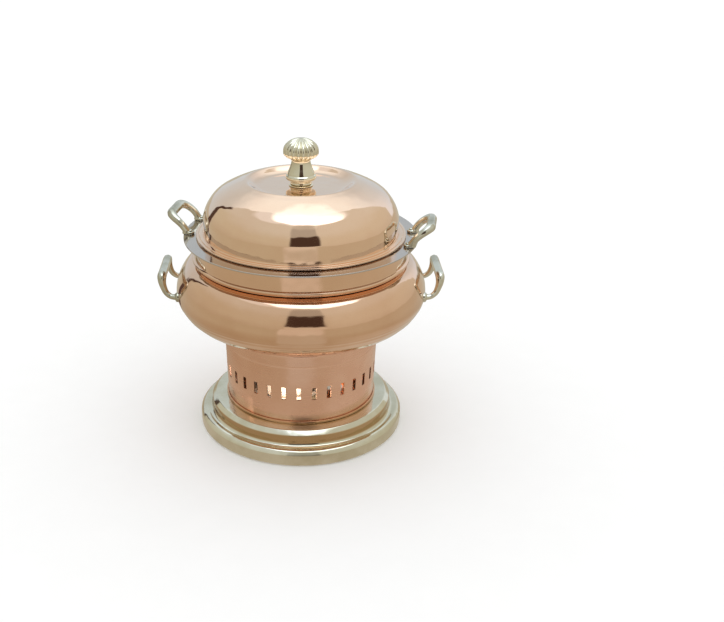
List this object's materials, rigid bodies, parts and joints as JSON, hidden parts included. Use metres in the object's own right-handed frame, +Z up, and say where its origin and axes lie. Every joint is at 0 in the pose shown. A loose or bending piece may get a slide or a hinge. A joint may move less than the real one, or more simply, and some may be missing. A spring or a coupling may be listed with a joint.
{
  "type": "soup kettle",
  "caption": "Copper and brass soup kettle: vented burner stand, round water bowl, lift-out steel food pan and domed lid with a fluted knob.",
  "frame": {"origin": "on the table, under the middle of the stand's base", "axes": "+Z up; +X towards the right-hand bowl handle; -Y is the front, where the slots' turn is measured from"},
  "size_m": [0.3142, 0.2786, 0.334],
  "materials": {
    "copper_lid": "mirror-polished copper",
    "copper_bowl": "mirror-polished copper",
    "copper_drum": "satin-polished copper",
    "brass_spun": "polished pale brass, spun",
    "brass_cast": "cast brass, hand-polished",
    "brass_knob": "cast brass, bright-polished",
    "steel_pan": "polished stainless steel",
    "steel": "plain stainless steel sheet",
    "wick_felt": "white mineral-fibre felt"
  },
  "bodies": {
    "stand": {"base_plate": "brass_spun", "drum_foot_ring": "copper_drum", "vent_drum": "copper_drum"},
    "burner": {"burner_tray": "steel", "fuel_cup": "steel", "fuel_wick": "wick_felt", "cup_cover": "steel", "snuffer_pin": "brass_cast"},
    "snuffer": {"snuffer_disc": "steel", "snuffer_knob": "brass_cast"},
    "water_bowl": {"bowl_shell": "copper_bowl", "neck_collar": "copper_bowl", "bowl_foot_ring": "copper_bowl", "bowl_handle_left": "brass_cast", "bowl_rivet_left_1": "brass_cast", "bowl_rivet_left_2": "brass_cast", "bowl_handle_right": "brass_cast", "bowl_rivet_right_1": "brass_cast", "bowl_rivet_right_2": "brass_cast"},
    "food_pan": {"pan_liner": "steel_pan", "pan_handle_left": "brass_cast", "pan_rivet_left_1": "brass_cast", "pan_rivet_left_2": "brass_cast", "pan_handle_right": "brass_cast", "pan_rivet_right_1": "brass_cast", "pan_rivet_right_2": "brass_cast"},
    "lid": {"lid_dome": "copper_lid", "lid_locating_ring": "copper_lid", "knob_washer": "brass_cast", "lid_knob": "brass_knob", "knob_screw": "steel"}
  },
  "joints": [
    {"name": "bowl_lift", "type": "slide", "parent": "stand", "child": "water_bowl", "axis": [0, 0, 1], "range_m": [0, 0.12]},
    {"name": "pan_lift", "type": "slide", "parent": "water_bowl", "child": "food_pan", "axis": [0, 0, 1], "range_m": [0, 0.11]},
    {"name": "lid_lift", "type": "slide", "parent": "food_pan", "child": "lid", "axis": [0, 0, 1], "range_m": [0, 0.12]},
    {"name": "burner_lift", "type": "slide", "parent": "stand", "child": "burner", "axis": [0, 0, 1], "range_m": [0, 0.03]},
    {"name": "snuffer_swing", "type": "hinge", "parent": "burner", "child": "snuffer", "pos_m": [0.01, 0, 0.071], "axis": [0, 0, 1], "range_deg": [0, 110]}
  ]
}
